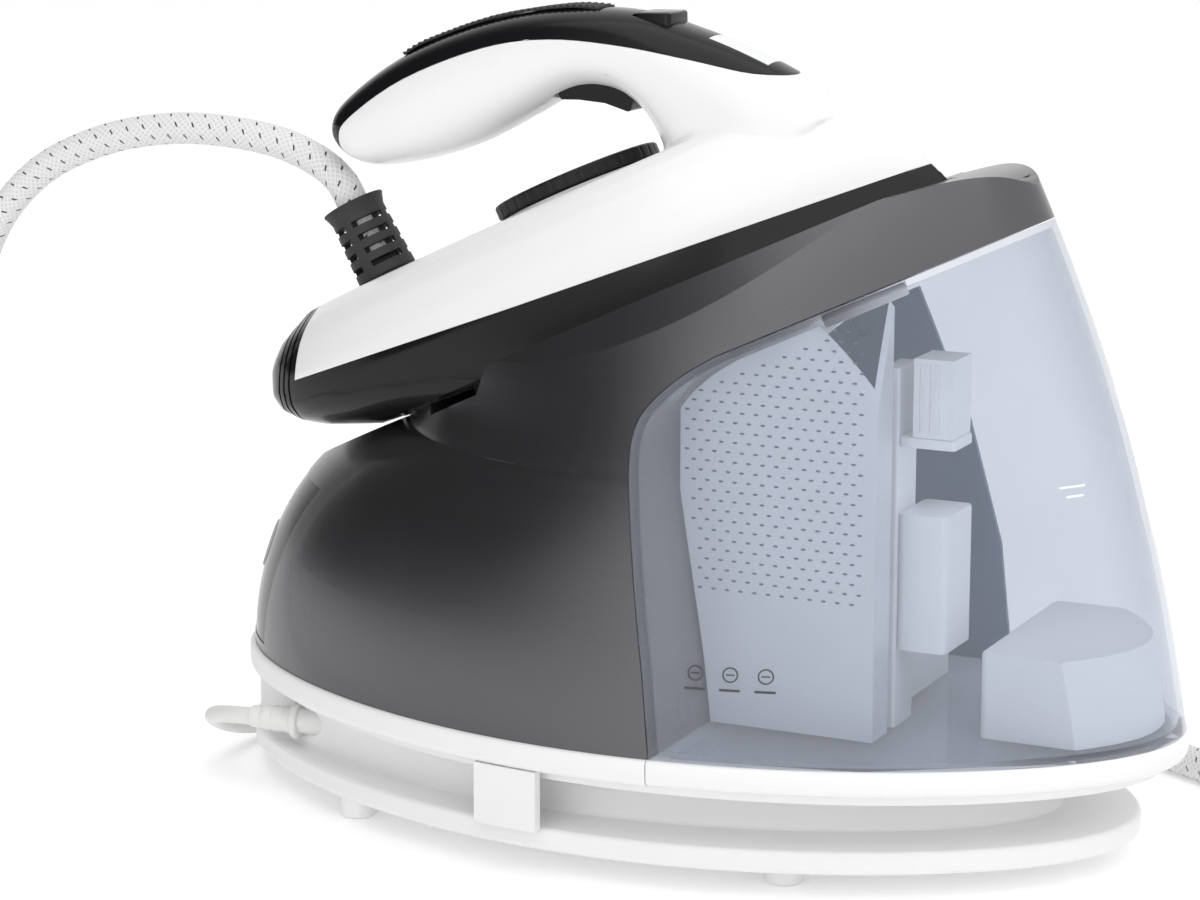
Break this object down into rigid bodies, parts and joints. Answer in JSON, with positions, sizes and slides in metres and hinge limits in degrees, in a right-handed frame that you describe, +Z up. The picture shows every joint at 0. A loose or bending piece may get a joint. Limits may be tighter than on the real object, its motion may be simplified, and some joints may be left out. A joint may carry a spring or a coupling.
{
  "type": "steam generator iron",
  "caption": "Steam iron resting on a boiler station with a slide-out water tank, side cord channel, steam hose and mains lead.",
  "frame": {"origin": "centre of the footprint at the underside of the feet", "axes": "+X towards the nose, +Y to the left of the nose, +Z up"},
  "size_m": [0.564, 0.388, 0.2907],
  "materials": {
    "white_plastic": "glossy white moulding",
    "charcoal_shell": "metallic charcoal",
    "gloss_black": "gloss black",
    "black_plastic": "satin black",
    "black_rubber": "soft black",
    "grey_key": "satin grey",
    "lamp_lens": "clear lens",
    "board_green": "lacquered board",
    "steel": "brushed",
    "cast_aluminium": "as cast",
    "tube_silicone": "translucent silicone",
    "cord_grey": "pale grey flexible sheath",
    "hose_braid": "woven white sleeve with dark flecks",
    "tank_blue": "clear bluish",
    "inner_white": "white inner mouldings"
  },
  "bodies": {
    "station": {"base_plate": "white_plastic", "base_pedestal": "white_plastic", "base_deck": "white_plastic", "base_struts": "white_plastic", "feet": "white_plastic", "base_screws": "steel", "shell": "charcoal_shell", "rest_plate": "black_plastic", "rest_pads": "black_rubber", "control_panel": "gloss_black", "indicator_lights": "lamp_lens", "control_board": "board_green", "boiler": "steel", "boiler_bracket": "steel", "steam_valve": "black_plastic", "pump": "black_plastic", "pump_mount": "black_rubber", "pump_tube": "tube_silicone", "steam_tube": "tube_silicone", "tank_socket": "inner_white", "hose_socket": "black_plastic", "lead_gland": "cord_grey", "hose_lower": "hose_braid", "mains_lead": "cord_grey", "lead_coil": "cord_grey", "lead_tie": "cord_grey", "mains_plug": "cord_grey", "plug_pins": "steel"},
    "power_key": {"power_button": "grey_key"},
    "steam_key": {"steam_button": "grey_key"},
    "water_tank": {"tank_base": "white_plastic", "tank_shell": "tank_blue", "tank_seal": "black_rubber", "tank_valve": "white_plastic", "filler_cap": "white_plastic", "baffle_plate": "inner_white", "filter_cartridge": "inner_white", "cartridge_holder": "inner_white", "float_housing": "inner_white", "intake_housing": "inner_white"},
    "iron": {"soleplate": "steel", "steam_chamber": "cast_aluminium", "heat_shield": "gloss_black", "iron_shell": "white_plastic", "handle_cap": "black_plastic", "handle_grip": "black_rubber", "heel_cap": "gloss_black", "signal_lens": "lamp_lens", "thermostat": "inner_white", "trigger_pin": "steel", "trigger_switch": "black_plastic", "hose_boot": "black_rubber", "iron_pipe": "tube_silicone", "hose_upper": "hose_braid"},
    "dial": {"temperature_dial": "black_plastic"},
    "trigger": {"steam_trigger": "black_plastic"},
    "lock_key": {"lock_button": "black_plastic"}
  },
  "joints": [
    {"name": "iron_lift", "type": "slide", "parent": "station", "child": "iron", "axis": [-0.4226, 0, 0.9063], "range_m": [0, 0.06]},
    {"name": "tank_slide", "type": "slide", "parent": "station", "child": "water_tank", "axis": [1, 0, 0], "range_m": [0, 0.12]},
    {"name": "power_press", "type": "slide", "parent": "station", "child": "power_key", "axis": [1, 0, 0], "range_m": [0, 0.0015], "stiffness_N_per_m": 500, "springref_m": -0.002},
    {"name": "steam_press", "type": "slide", "parent": "station", "child": "steam_key", "axis": [1, 0, 0], "range_m": [0, 0.0015], "stiffness_N_per_m": 500, "springref_m": -0.002},
    {"name": "dial_turn", "type": "hinge", "parent": "iron", "child": "dial", "pos_m": [-0.04703, 0, 0.22296], "axis": [-0.4226, 0, 0.9063], "range_deg": [0, 270]},
    {"name": "trigger_press", "type": "hinge", "parent": "iron", "child": "trigger", "pos_m": [-0.02877, 0, 0.26899], "axis": [0, 1, 0], "range_deg": [0, 8], "stiffness_Nm_per_rad": 0.4, "springref_deg": -8.59},
    {"name": "lock_press", "type": "slide", "parent": "iron", "child": "lock_key", "axis": [0.0174, 0, -0.9998], "range_m": [0, 0.002], "stiffness_N_per_m": 400, "springref_m": -0.003}
  ]
}
